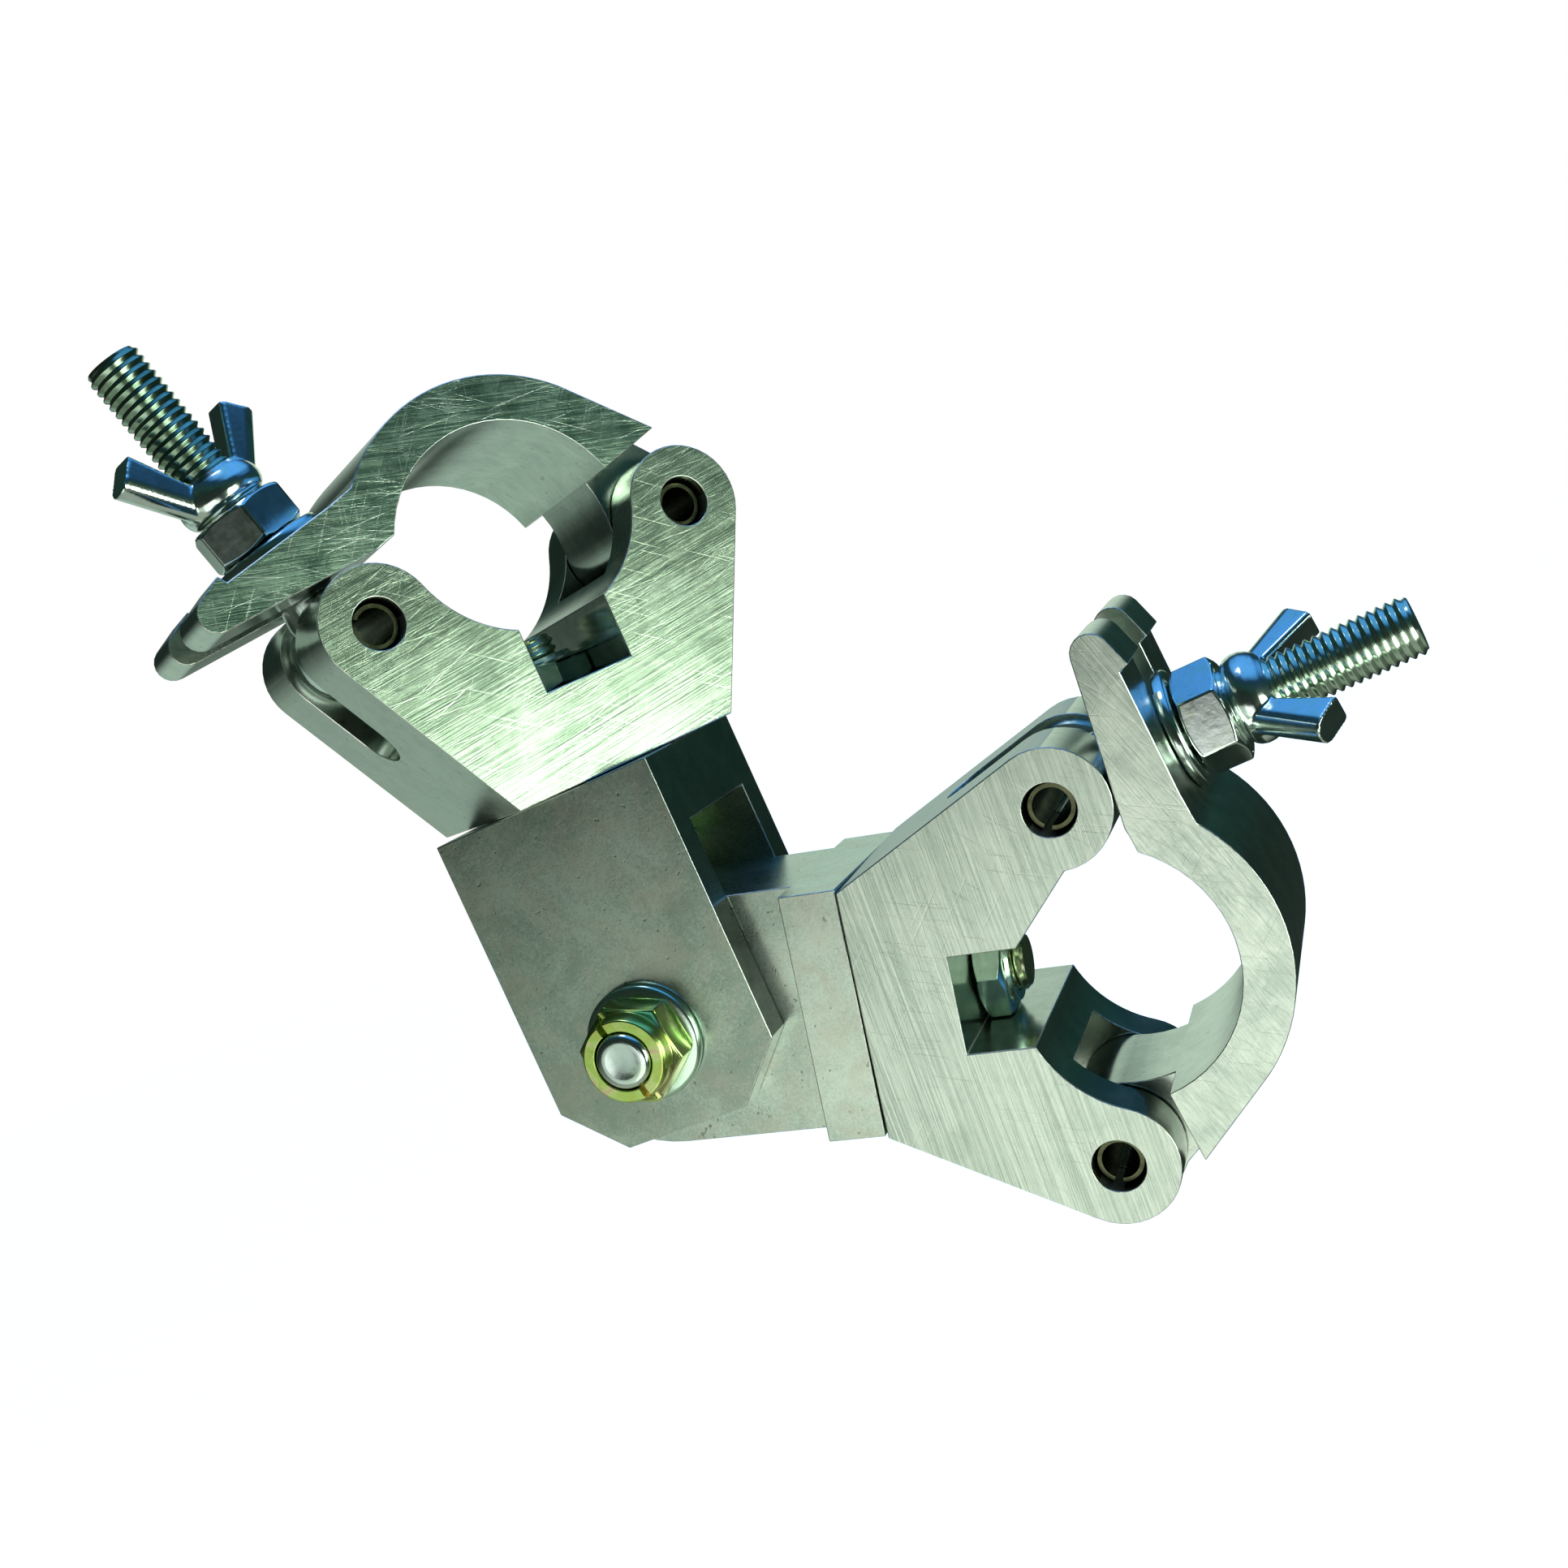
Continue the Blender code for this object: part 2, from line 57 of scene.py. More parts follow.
GAP = 0.3                     # clearance that the part leaves between touching pieces
EDGE = 0.22                   # width of a broken edge

# couplers and knuckle
HALF_WIDTH = 25.0             # half of each sawn length of extrusion
BASE = -55.5                  # a coupler's mounting face, from its tube centre
POCKET_FLOOR = -36.6          # the floor of its nut pocket, from its tube centre
PIN_OFFSET = 35.0             # both pins, either side of the tube centre
PIN_DROP = 12.0               # both pins, below the tube centre
FLANK_START = 24.0            # outer flanks lie farther than this from the tube centre
COUNTERBORE_FLOOR = 18.9      # below the face that coupler B stands on

# M12 fasteners
THREAD_MAJOR = 5.85
THREAD_MINOR = 5.15
PITCH = 1.75
THREAD_FORM = (               # share of the pitch, and the radius there
    (0.0, THREAD_MAJOR),
    (0.16, THREAD_MAJOR),
    (0.50, THREAD_MINOR),
    (0.64, THREAD_MINOR),
)
BORE = 6.0
ACROSS_FLATS = 18.8
HEX_CHAMFER = 28.0            # degrees
WASHER_RADIUS = 12.0
WASHER_THICK = 2.3
SOCKET_ACROSS = 10.0          # the hexagon socket in coupler B's mounting bolt

# heights along an eye bolt, from its eye pin
EYE_BOLT_LENGTH = 70.7
CLAMP_WASHER_BASE = 23.1
WING_BASE = 25.7              # the wing nut's bearing face
THREAD_START = 17.0

# mounting and pivot bolts
BOLT_STAND = {"a": 11.9, "b": 9.7}      # mounting bolts above the floors of their nut pockets
MOUNT_THREAD_END = -42.0      # where the visible thread stops, inside the base
PIVOT_BOLT_END = 39.1         # from the knuckle's middle

# how far each loose piece is turned, in degrees
NUT_TURN = 22.0
SLIT_TURN = -78.0
WING_TURN = {"a": 23.0, "b": -62.0}
PIN_OPENING = {"eye_pin_a": 150.0, "hinge_pin_a": 165.0, "eye_pin_b": -20.0, "hinge_pin_b": -15.0}

# the camera at the photo's view, and the studio: its own axes are that camera's right, up and back
CAMERA_PLACE = (0.17772, -0.37665, -0.04412)
CAMERA_TURN = [math.radians(angle) for angle in (85.487, 24.186, 18.260)]
CAMERA_LENS = 45.37
STUDIO = Euler(CAMERA_TURN).to_matrix()
MIDDLE = Vector((0.04, 0.0, -0.07))     # the middle of the object, from which the cards are placed
WATTS_PER_GLOW = 4.0          # for each square metre of a card
FLOOR_HEIGHT = -0.62
FLOOR_REACH = 6.0

# how high on the studio's up axis, from -1 to 1, and the colour of the wall there
WALLS = [
    (-0.86, (0.34, 0.39, 0.32)),
    (-0.60, (0.16, 0.19, 0.15)),
    (-0.40, (0.02, 0.028, 0.024)),
    (0.22, (0.014, 0.027, 0.021)),
    (0.42, (0.014, 0.050, 0.041)),
    (0.70, (0.010, 0.036, 0.07)),
    (0.84, (0.09, 0.36, 0.86)),
    (0.93, (0.12, 0.44, 1.00)),
]

# soft patches on the walls: direction, full to the first angle and gone at the second, and colour
LOBES = [
    ((-0.04, 0.28, -0.96), 8.0, 24.0, (0.64, 0.80, 0.66)),
    ((-0.36, -0.47, -0.81), 12.0, 30.0, (0.42, 0.56, 0.46)),
    ((-0.34, 0.91, 0.20), 3.0, 9.0, (3.4, 3.8, 4.4)),
]

# light cards: name, centre from the middle of the object, size in metres, tilt in degrees, glow, colour
CARDS = [
    ("front_card", (-0.10, -0.58, 0.60), (0.62, 0.60), 10.0, 0.88, (0.94, 1.0, 0.90)),
    ("front_glow", (-0.12, -0.295, 0.60), (0.24, 0.15), 10.0, 0.80, (1.0, 1.0, 0.96)),
    ("left_card", (-0.60, -0.66, 0.60), (0.40, 0.48), 10.0, 0.40, (0.84, 1.0, 0.86)),
    ("right_card", (0.78, -0.002, 0.60), (0.70, 0.46), 16.0, 5.4, (0.84, 1.0, 0.80)),
    ("sky_card", (-0.31, 0.82, 0.18), (0.12, 0.12), 0.0, 4.0, (0.88, 0.95, 1.0)),
]

JOINTS = {joint["name"]: joint for joint in frame["joints"]}


# ---------------------------------------------------------------- frames

def frame_from(origin, z_axis, y_axis):
    """A frame at an origin, whose Y axis is made square to its Z axis."""
    z_axis = Vector(z_axis).normalized()
    y_axis = Vector(y_axis)
    y_axis = (y_axis - y_axis.dot(z_axis) * z_axis).normalized()
    x_axis = y_axis.cross(z_axis)
    matrix = Matrix((x_axis, y_axis, z_axis)).transposed().to_4x4()
    matrix.translation = Vector(origin)
    return matrix


def coupler_frame(side):
    """A coupler's own frame: its tube centre, +Z away from its base, +Y along its tube."""
    along = JOINTS["arm_opening_" + side]["axis"]
    if side == "a":
        return frame_from((0.0, 0.0, 0.0), (0.0, 0.0, 1.0), along)
    swivel = JOINTS["coupler_b_swivel"]
    return frame_from(swivel["pos_m"], swivel["axis"], along)


def bolt_frame(side):
    """An eye bolt's own frame: its eye pin, +Z along the bolt."""
    spin = JOINTS["wing_nut_spin_" + side]
    return frame_from(spin["pos_m"], spin["axis"], JOINTS["arm_opening_" + side]["axis"])


PIVOT = frame_from(JOINTS["knuckle_pivot"]["pos_m"], (0.0, 0.0, 1.0), (0.0, 1.0, 0.0))
COUPLER = {side: coupler_frame(side) for side in "ab"}
BOLT = {side: bolt_frame(side) for side in "ab"}


def move(x=0.0, y=0.0, z=0.0):
    return Matrix.Translation((x * MM, y * MM, z * MM))


def turn(degrees, axis):
    return Matrix.Rotation(math.radians(degrees), 4, axis)


# ---------------------------------------------------------------- node helpers

# sockets of a colour Mix node
MIX_SHARE = 0
MIX_FIRST = 6
MIX_SECOND = 7
MIX_RESULT = 2


def add_node(tree, kind, **settings):
    node = tree.nodes.new(kind)
    for key, value in settings.items():
        setattr(node, key, value)
    return node


def fill_ramp(node, stops):
    """Give a colour ramp its stops, as (position, colour) in rising order."""
    elements = node.color_ramp.elements
    while len(elements) < len(stops):
        elements.new(0.5)
    for element, (position, colour) in zip(elements, stops):
        element.position = position
        element.color = (*colour, 1.0)


class Nodes:
    """Short calls for building one material's node tree."""

    def __init__(self, name):
        self.material = bpy.data.materials.new(name)
        self.material.use_nodes = True
        self.tree = self.material.node_tree
        self.shader = self.tree.nodes["Principled BSDF"]
        self.place = self.add("ShaderNodeTexCoord").outputs["Object"]

    def add(self, kind, **settings):
        return add_node(self.tree, kind, **settings)

    def link(self, source, target):
        self.tree.links.new(source, target)

    def put(self, value, socket):
        """Set a socket to a number or a colour, or link another node to it."""
        if isinstance(value, (int, float)):
            socket.default_value = value
        elif isinstance(value, tuple):
            socket.default_value = (*value, 1.0)
        else:
            self.link(value, socket)

    def mapped(self, angle=0.0, scale=(1.0, 1.0, 1.0), offset=(0.0, 0.0, 0.0)):
        """Object coordinates turned by degrees about Y, then scaled to cells per metre and shifted."""
        first = self.add("ShaderNodeMapping")
        first.inputs["Rotation"].default_value = (0.0, math.radians(angle), 0.0)
        self.link(self.place, first.inputs["Vector"])
        second = self.add("ShaderNodeMapping")
        second.inputs["Scale"].default_value = scale
        second.inputs["Location"].default_value = offset
        self.link(first.outputs["Vector"], second.inputs["Vector"])
        return second.outputs["Vector"]

    def noise(self, vector, scale, detail, roughness, distortion=0.0):
        node = self.add("ShaderNodeTexNoise")
        node.inputs["Scale"].default_value = scale
        node.inputs["Detail"].default_value = detail
        node.inputs["Roughness"].default_value = roughness
        node.inputs["Distortion"].default_value = distortion
        self.link(vector, node.inputs["Vector"])
        return node.outputs["Fac"]

    def ramp(self, source, stops):
        node = self.add("ShaderNodeValToRGB")
        fill_ramp(node, stops)
        self.link(source, node.inputs["Fac"])
        return node.outputs["Color"]

    def band(self, source, low, high):
        """0 below low, 1 above high."""
        node = self.add("ShaderNodeMapRange")
        node.inputs["From Min"].default_value = low
        node.inputs["From Max"].default_value = high
        self.link(source, node.inputs["Value"])
        return node.outputs["Result"]

    def between(self, source, low, high):
        """Spread a 0 to 1 value from low to high."""
        node = self.add("ShaderNodeMapRange")
        node.inputs["To Min"].default_value = low
        node.inputs["To Max"].default_value = high
        self.link(source, node.inputs["Value"])
        return node.outputs["Result"]

    def maths(self, operation, first, second):
        node = self.add("ShaderNodeMath", operation=operation)
        for socket, value in zip(node.inputs, (first, second)):
            self.put(value, socket)
        return node.outputs["Value"]

    def plus(self, first, second):
        return self.maths("ADD", first, second)

    def times(self, value, factor):
        return self.maths("MULTIPLY", value, factor)

    def shared(self, first, second, share):
        """A share of the first value, and the rest of the second."""
        return self.plus(self.times(first, share), self.times(second, 1.0 - share))

    def mix(self, share, first, second):
        """From the first colour to the second, as the share runs from 0 to 1."""
        node = self.add("ShaderNodeMix", data_type="RGBA", blend_type="MIX")
        for index, value in ((MIX_SHARE, share), (MIX_FIRST, first), (MIX_SECOND, second)):
            self.put(value, node.inputs[index])
        return node.outputs[MIX_RESULT]

    def bump(self, height, depth, strength):
        node = self.add("ShaderNodeBump")
        node.inputs["Distance"].default_value = depth
        node.inputs["Strength"].default_value = strength
        self.link(height, node.inputs["Height"])
        self.link(node.outputs["Normal"], self.shader.inputs["Normal"])

    def finish(self, colour, roughness):
        self.shader.inputs["Metallic"].default_value = 1.0
        self.put(colour, self.shader.inputs["Base Color"])
        self.put(roughness, self.shader.inputs["Roughness"])
        return self.material


# ---------------------------------------------------------------- materials

def scratches(nodes, angles, fine, low, high):
    """Sparse straight scratches at several angles in the X and Z plane, in cells of fine to the metre."""
    total = None
    for i, angle in enumerate(angles):
        vector = nodes.mapped(angle, (45.0, 160.0, fine), (3.1 * i, 0.0, 7.7 * i))
        marks = nodes.band(nodes.noise(vector, 1.0, 1.0, 0.4), low, high)
        total = marks if total is None else nodes.maths("MAXIMUM", total, marks)
    return total


def sawn_metal(name, angle, dark, light, rough, lines_share, stray_share, mottle, depth):
    """A sawn and brushed face in the X and Z plane: parallel lines, cloudy patches, stray scratches.

    The lines have their share of the tone and the patches have the rest. The tone runs from dark
    to light over a band as wide as mottle, and depth is the depth of the lines in metres.
    """
    nodes = Nodes(name)
    fine = nodes.noise(nodes.mapped(angle, (22.0, 60.0, 4200.0)), 1.0, 3.0, 0.65)
    broad = nodes.noise(nodes.mapped(angle + 2.0, (14.0, 60.0, 1500.0)), 1.0, 3.0, 0.7)
    cloud = nodes.noise(nodes.mapped(offset=(0.3, 0.2, 0.6)), 110.0, 6.0, 0.66, 0.5)
    grain = nodes.noise(nodes.mapped(angle, (160.0, 160.0, 3600.0)), 1.0, 3.0, 0.6)
    stray_angles = (angle - 9.0, angle + 14.0, 52.0, -34.0, 76.0)
    stray = scratches(nodes, stray_angles, 2300.0, 0.67, 0.71)
    lines = nodes.band(nodes.shared(fine, broad, 0.5), 0.38, 0.62)
    patches = nodes.band(nodes.shared(cloud, grain, 0.65), 0.36, 0.64)
    tone = nodes.shared(lines, patches, lines_share)
    colour = nodes.ramp(tone, [(0.5 - 0.5 * mottle, dark), (0.5 + 0.5 * mottle, light)])
    colour = nodes.mix(nodes.times(stray, stray_share), colour, (0.97, 1.0, 0.93))
    roughness = nodes.plus(nodes.between(patches, rough - 0.01, rough + 0.05), nodes.times(lines, 0.05))
    height = nodes.plus(lines, nodes.times(stray, -0.5))
    height = nodes.plus(height, nodes.times(grain, 0.35))
    nodes.bump(height, depth, 0.6)
    return nodes.finish(colour, roughness)


def drawn_metal(name, colours, rough, haze=0.0):
    """An extruded or milled face: nearly a mirror, with faint die lines along Y and dull stains."""
    nodes = Nodes(name)
    die = nodes.noise(nodes.mapped(scale=(1500.0, 12.0, 1500.0)), 1.0, 2.0, 0.5)
    stain = nodes.noise(nodes.mapped(offset=(0.7, 0.1, 0.2)), 120.0, 5.0, 0.65, 0.6)
    speck = nodes.band(nodes.noise(nodes.mapped(), 620.0, 2.0, 0.5), 0.64, 0.74)
    colour = nodes.ramp(stain, [(0.38, colours[0]), (0.62, colours[1])])
    colour = nodes.mix(nodes.times(speck, 0.45), colour, (0.20, 0.23, 0.19))
    roughness = nodes.plus(nodes.between(stain, rough, rough + 0.12 + haze), nodes.times(die, 0.06))
    nodes.bump(nodes.plus(die, nodes.times(stain, 0.6)), 0.000014, 0.6)
    return nodes.finish(colour, roughness)


def satin_metal(name, colours, rough):
    """A tumbled satin face with fine pits, small dark marks and warm and cool patches."""
    nodes = Nodes(name)
    patch = nodes.noise(nodes.mapped(offset=(0.4, 0.9, 0.1)), 60.0, 6.0, 0.68, 0.5)
    warmth = nodes.noise(nodes.mapped(offset=(1.4, 2.9, 3.1)), 95.0, 4.0, 0.6, 0.8)
    grain = nodes.noise(nodes.mapped(), 2100.0, 3.0, 0.6)
    pits = nodes.band(nodes.noise(nodes.mapped(offset=(5.0, 1.0, 2.0)), 640.0, 2.0, 0.5), 0.66, 0.74)
    stray = scratches(nodes, (12.0, -52.0), 1700.0, 0.72, 0.78)
    tone = nodes.shared(patch, grain, 0.6)
    colour = nodes.ramp(tone, [(0.41, colours[0]), (0.59, colours[1])])
    warm_share = nodes.between(nodes.band(warmth, 0.45, 0.68), 0.0, 0.42)
    colour = nodes.mix(warm_share, colour, (0.62, 0.55, 0.46))
    colour = nodes.mix(nodes.times(pits, 0.60), colour, (0.14, 0.17, 0.14))
    colour = nodes.mix(nodes.times(stray, 0.15), colour, (0.86, 0.90, 0.84))
    roughness = nodes.plus(nodes.between(patch, rough - 0.04, rough + 0.08), nodes.times(grain, 0.06))
    height = nodes.plus(nodes.times(grain, 0.6), nodes.times(pits, -1.0))
    nodes.bump(height, 0.000035, 0.5)
    return nodes.finish(colour, roughness)


def plated_metal(name, colours, rough, marks=(0.35, 0.38, 0.40)):
    """Plated steel: smooth, with shifting passivation colours, dull patches and small dents."""
    nodes = Nodes(name)
    shift = nodes.noise(nodes.mapped(offset=(0.2, 0.8, 0.5)), 150.0, 3.0, 0.55, 0.9)
    dull = nodes.noise(nodes.mapped(), 420.0, 4.0, 0.6)
    dents = nodes.noise(nodes.mapped(), 800.0, 2.0, 0.5)
    stops = [(0.30 + 0.42 * i / (len(colours) - 1), colour) for i, colour in enumerate(colours)]
    colour = nodes.ramp(shift, stops)
    colour = nodes.mix(nodes.times(nodes.band(dull, 0.60, 0.74), 0.5), colour, marks)
    nodes.bump(nodes.plus(dents, nodes.times(dull, 0.5)), 0.00002, 0.5)
    return nodes.finish(colour, nodes.between(dull, rough, rough + 0.16))


def burr_metal(name):
    """The bright broken edge that a saw and a file leave."""
    nodes = Nodes(name)
    nick = nodes.noise(nodes.mapped(), 1100.0, 3.0, 0.6)
    colour = nodes.ramp(nick, [(0.35, (0.74, 0.76, 0.72)), (0.6, (0.97, 0.98, 0.95))])
    nodes.bump(nick, 0.00008, 0.8)
    return nodes.finish(colour, nodes.between(nick, 0.22, 0.42))


BURR = burr_metal("burr_edge")
SAWN = {
    "a": sawn_metal("sawn_face_a", 6.0, (0.40, 0.51, 0.40), (0.78, 0.91, 0.75), rough=0.20,
                    lines_share=0.62, stray_share=0.50, mottle=0.6, depth=0.000016),
    "b": sawn_metal("sawn_face_b", 8.0, (0.44, 0.52, 0.45), (0.80, 0.87, 0.79), rough=0.26,
                    lines_share=0.66, stray_share=0.22, mottle=0.55, depth=0.000035),
}
SAWN_ARM = {
    "a": sawn_metal("sawn_arm_a", -12.0, (0.22, 0.36, 0.28), (0.56, 0.74, 0.59), rough=0.22,
                    lines_share=0.32, stray_share=0.85, mottle=0.6, depth=0.000022),
    "b": sawn_metal("sawn_arm_b", 30.0, (0.48, 0.56, 0.50), (0.80, 0.87, 0.78), rough=0.26,
                    lines_share=0.15, stray_share=0.18, mottle=0.55, depth=0.000035),
}
DRAWN = drawn_metal("drawn_face", ((0.50, 0.55, 0.51), (0.66, 0.71, 0.66)), 0.10)
MILLED = drawn_metal("milled_face", ((0.50, 0.56, 0.50), (0.66, 0.72, 0.65)), 0.12)
FLANK = drawn_metal("flank_face", ((0.52, 0.56, 0.53), (0.66, 0.70, 0.66)), 0.22, 0.10)
CLEVIS_FACE = satin_metal("clevis_face", ((0.36, 0.44, 0.38), (0.58, 0.67, 0.59)), 0.25)
CLEVIS_SIDE = drawn_metal("clevis_side", ((0.42, 0.48, 0.43), (0.54, 0.60, 0.54)), 0.12)
TONGUE_FACE = satin_metal("tongue_face", ((0.48, 0.57, 0.50), (0.74, 0.83, 0.74)), 0.24)
ZINC = plated_metal("clear_zinc", ((0.66, 0.76, 0.70), (0.76, 0.84, 0.84), (0.72, 0.82, 0.70)), 0.07)
# the same plated thread on both bolts; bolt A's colours sit well below the zinc's own, as painted shade
# over its whole thread, while bolt B's are the plating's own colour
ZINC_THREAD_AND_SHADE = {
    "a": plated_metal("thread_zinc_painted_shade_a", ((0.18, 0.27, 0.19), (0.46, 0.60, 0.47)), 0.12),
    "b": plated_metal("thread_zinc_b", ((0.46, 0.60, 0.47), (0.74, 0.88, 0.76)), 0.12),
}
# green passivated zinc, whose colours are raised above the plating's own as painted light, standing in for
# the sun that reaches into the nut pockets
GREEN_ZINC_AND_LIGHT = plated_metal("green_zinc_and_painted_light", ((0.58, 0.78, 0.64), (0.74, 0.92, 0.78)), 0.12)
GREEN_GOLD = plated_metal("green_gold_zinc",
                          ((0.44, 0.52, 0.30), (0.62, 0.70, 0.40), (0.74, 0.74, 0.36)), 0.18)
GOLD_ZINC = plated_metal("yellow_zinc",
                         ((0.70, 0.64, 0.20), (0.60, 0.82, 0.20), (0.80, 0.86, 0.36), (0.90, 0.58, 0.42)),
                         0.13, (0.46, 0.46, 0.16))
# dark oiled spring steel, darkened further as painted shade: the black inside each rolled pin and its dim
# end faces are painted into the whole pin's colour
SPRING_STEEL_AND_SHADE = plated_metal("spring_steel", ((0.05, 0.055, 0.03), (0.17, 0.18, 0.10)), 0.20, (0.03, 0.03, 0.02))


# ---------------------------------------------------------------- mesh helpers

def add_object(name, data):
    thing = bpy.data.objects.new(name, data)
    bpy.context.scene.collection.objects.link(thing)
    return thing


def object_from(name, mesh):
    """An object from a bmesh, which is used up."""
    data = bpy.data.meshes.new(name)
    mesh.to_mesh(data)
    mesh.free()
    return add_object(name, data)


def new_piece(name, mesh, place, body, nodes, materials, smooth_angle=35.0):
    """Make a piece from a bmesh in a local frame, riding on a body and standing for CAD nodes."""
    thing = object_from(name, mesh)
    thing.matrix_world = place
    for material in materials:
        thing.data.materials.append(material)
    thing.data.shade_smooth()
    thing.data.set_sharp_from_angle(angle=math.radians(smooth_angle))
    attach(thing, body)
    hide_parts(*nodes)
    return thing


def soften(thing, width, segments=2, angle=30.0, material=-1):
    """Round the edges that are sharper than an angle; a material of -1 is that of the faces around."""
    step = thing.modifiers.new("soften", "BEVEL")
    step.width = width * MM
    step.segments = segments
    step.limit_method = "ANGLE"
    step.angle_limit = math.radians(angle)
    step.harden_normals = True
    step.use_clamp_overlap = False
    step.material = material


def flatten(thing):
    """Let large faces set the shading, so that flat ones stay flat beside a softened edge."""
    step = thing.modifiers.new("flatten", "WEIGHTED_NORMAL")
    step.mode = "FACE_AREA"
    step.weight = 100
    step.keep_sharp = True


def around(radius, angle):
    """A point on a circle, at an angle in radians."""
    return radius * math.cos(angle), radius * math.sin(angle)


def vertex(mesh, x, y, z):
    """A new vertex, from millimetres."""
    return mesh.verts.new((x * MM, y * MM, z * MM))


def bridge(mesh, rings):
    """Join each ring of vertices to the next one with four-sided faces."""
    for lower, upper in zip(rings, rings[1:]):
        for i in range(len(lower)):
            j = (i + 1) % len(lower)
            mesh.faces.new((lower[i], lower[j], upper[j], upper[i]))


def outwards(mesh):
    """Turn the faces of a closed mesh outwards."""
    bmesh.ops.recalc_face_normals(mesh, faces=mesh.faces)
    return mesh


def turned(profile, sides):
    """A solid turned about Z from a closed loop of (radius, height) in mm; radius 0 is on the axis."""
    mesh = bmesh.new()
    rings = []
    for radius, height in profile:
        if radius == 0.0:
            rings.append([vertex(mesh, 0.0, 0.0, height)] * sides)
            continue
        ring = []
        for i in range(sides):
            x, y = around(radius, 2.0 * math.pi * i / sides)
            ring.append(vertex(mesh, x, y, height))
        rings.append(ring)
    for lower, upper in zip(rings, rings[1:] + rings[:1]):
        for i in range(sides):
            j = (i + 1) % sides
            corners = []
            for corner in (lower[i], lower[j], upper[j], upper[i]):
                if corner not in corners:
                    corners.append(corner)
            if len(corners) > 2:
                mesh.faces.new(corners)
    return outwards(mesh)


def threaded_rod(low, high):
    """A solid M12 rod with a real single-start right-hand thread from low to high, in mm."""
    sides = 56
    chamfer = 1.2
    end_drop = 0.1
    mesh = bmesh.new()
    rows = []
    for lap in range(int((high - low) / PITCH) + 3):
        for share, radius in THREAD_FORM:
            row = []
            for i in range(sides):
                part = i / sides
                height = low + PITCH * (lap - 1 + share + part)
                inside = min(max(height, low), high)
                from_end = max(0.0, min(high - inside, inside - low))
                limit = THREAD_MINOR + from_end * (1.0 / chamfer) - end_drop
                x, y = around(min(radius, limit), 2.0 * math.pi * part)
                row.append(vertex(mesh, x, y, inside))
            rows.append(row)
    count = len(THREAD_FORM)          # rows in one turn, by which the thread climbs at its seam
    for k in range(len(rows) - 1):
        for i in range(sides):
            if i < sides - 1:
                corners = (rows[k][i], rows[k][i + 1], rows[k + 1][i + 1], rows[k + 1][i])
            elif k + 1 + count < len(rows):
                corners = (rows[k][i], rows[k + count][0], rows[k + 1 + count][0], rows[k + 1][i])
            else:
                continue
            mesh.faces.new(corners)
    bmesh.ops.remove_doubles(mesh, verts=mesh.verts, dist=1e-7)
    bmesh.ops.dissolve_degenerate(mesh, dist=1e-7, edges=mesh.edges)
    bmesh.ops.holes_fill(mesh, edges=[edge for edge in mesh.edges if edge.is_boundary], sides=400)
    return outwards(mesh)


def prism(outline, low, high):
    """A solid with an outline in X and Z, from low to high in Y, in mm."""
    mesh = bmesh.new()
    near = [vertex(mesh, x, low, z) for x, z in outline]
    far = [vertex(mesh, x, high, z) for x, z in outline]
    mesh.faces.new(near)
    mesh.faces.new(list(reversed(far)))
    for i in range(len(outline)):
        j = (i + 1) % len(outline)
        mesh.faces.new((near[j], near[i], far[i], far[j]))
    return outwards(mesh)


def hexagon(turn_by, across=ACROSS_FLATS):
    """A hexagon's corners in mm, the first of them at turn_by degrees."""
    reach = across / math.sqrt(3.0)
    return [around(reach, math.radians(turn_by + 60.0 * i)) for i in range(6)]


def rotated(mesh, degrees, axis):
    bmesh.ops.transform(mesh, matrix=turn(degrees, axis), verts=mesh.verts)
    return mesh


def upright(mesh):
    """Stand a prism up, so that it runs along +Z in place of +Y."""
    return rotated(mesh, 90.0, "X")


def carved(mesh, steps, remesh=0.0, smooth=0):
    """Join, cut or trim a mesh by other meshes, and return the result as a bmesh."""
    target = object_from("scrap", mesh)
    tools = []
    for operation, tool in steps:
        tools.append(object_from("scrap", tool))
        step = target.modifiers.new("carve", "BOOLEAN")
        step.operation = operation
        step.solver = "EXACT"
        step.object = tools[-1]
    if remesh:
        step = target.modifiers.new("forge", "REMESH")
        step.mode = "VOXEL"
        step.voxel_size = remesh * MM
        step = target.modifiers.new("round", "SMOOTH")
        step.iterations = smooth
        step.factor = 0.5
    bpy.context.view_layer.update()
    evaluated = target.evaluated_get(bpy.context.evaluated_depsgraph_get())
    result = bmesh.new()
    result.from_mesh(evaluated.to_mesh())
    evaluated.to_mesh_clear()
    for thing in [target] + tools:
        bpy.data.objects.remove(thing, do_unlink=True)
    sliver = 0.004 * MM
    bmesh.ops.remove_doubles(result, verts=result.verts, dist=sliver)
    bmesh.ops.dissolve_degenerate(result, dist=sliver, edges=result.edges)
    bmesh.ops.dissolve_limit(result, angle_limit=math.radians(0.2), verts=result.verts, edges=result.edges)
    return result


def rod(radius, low, high):
    """A plain round bar along Z, in mm."""
    return turned([(0.0, low), (radius, low), (radius, high), (0.0, high)], 48)


# ---------------------------------------------------------------- sawn bodies

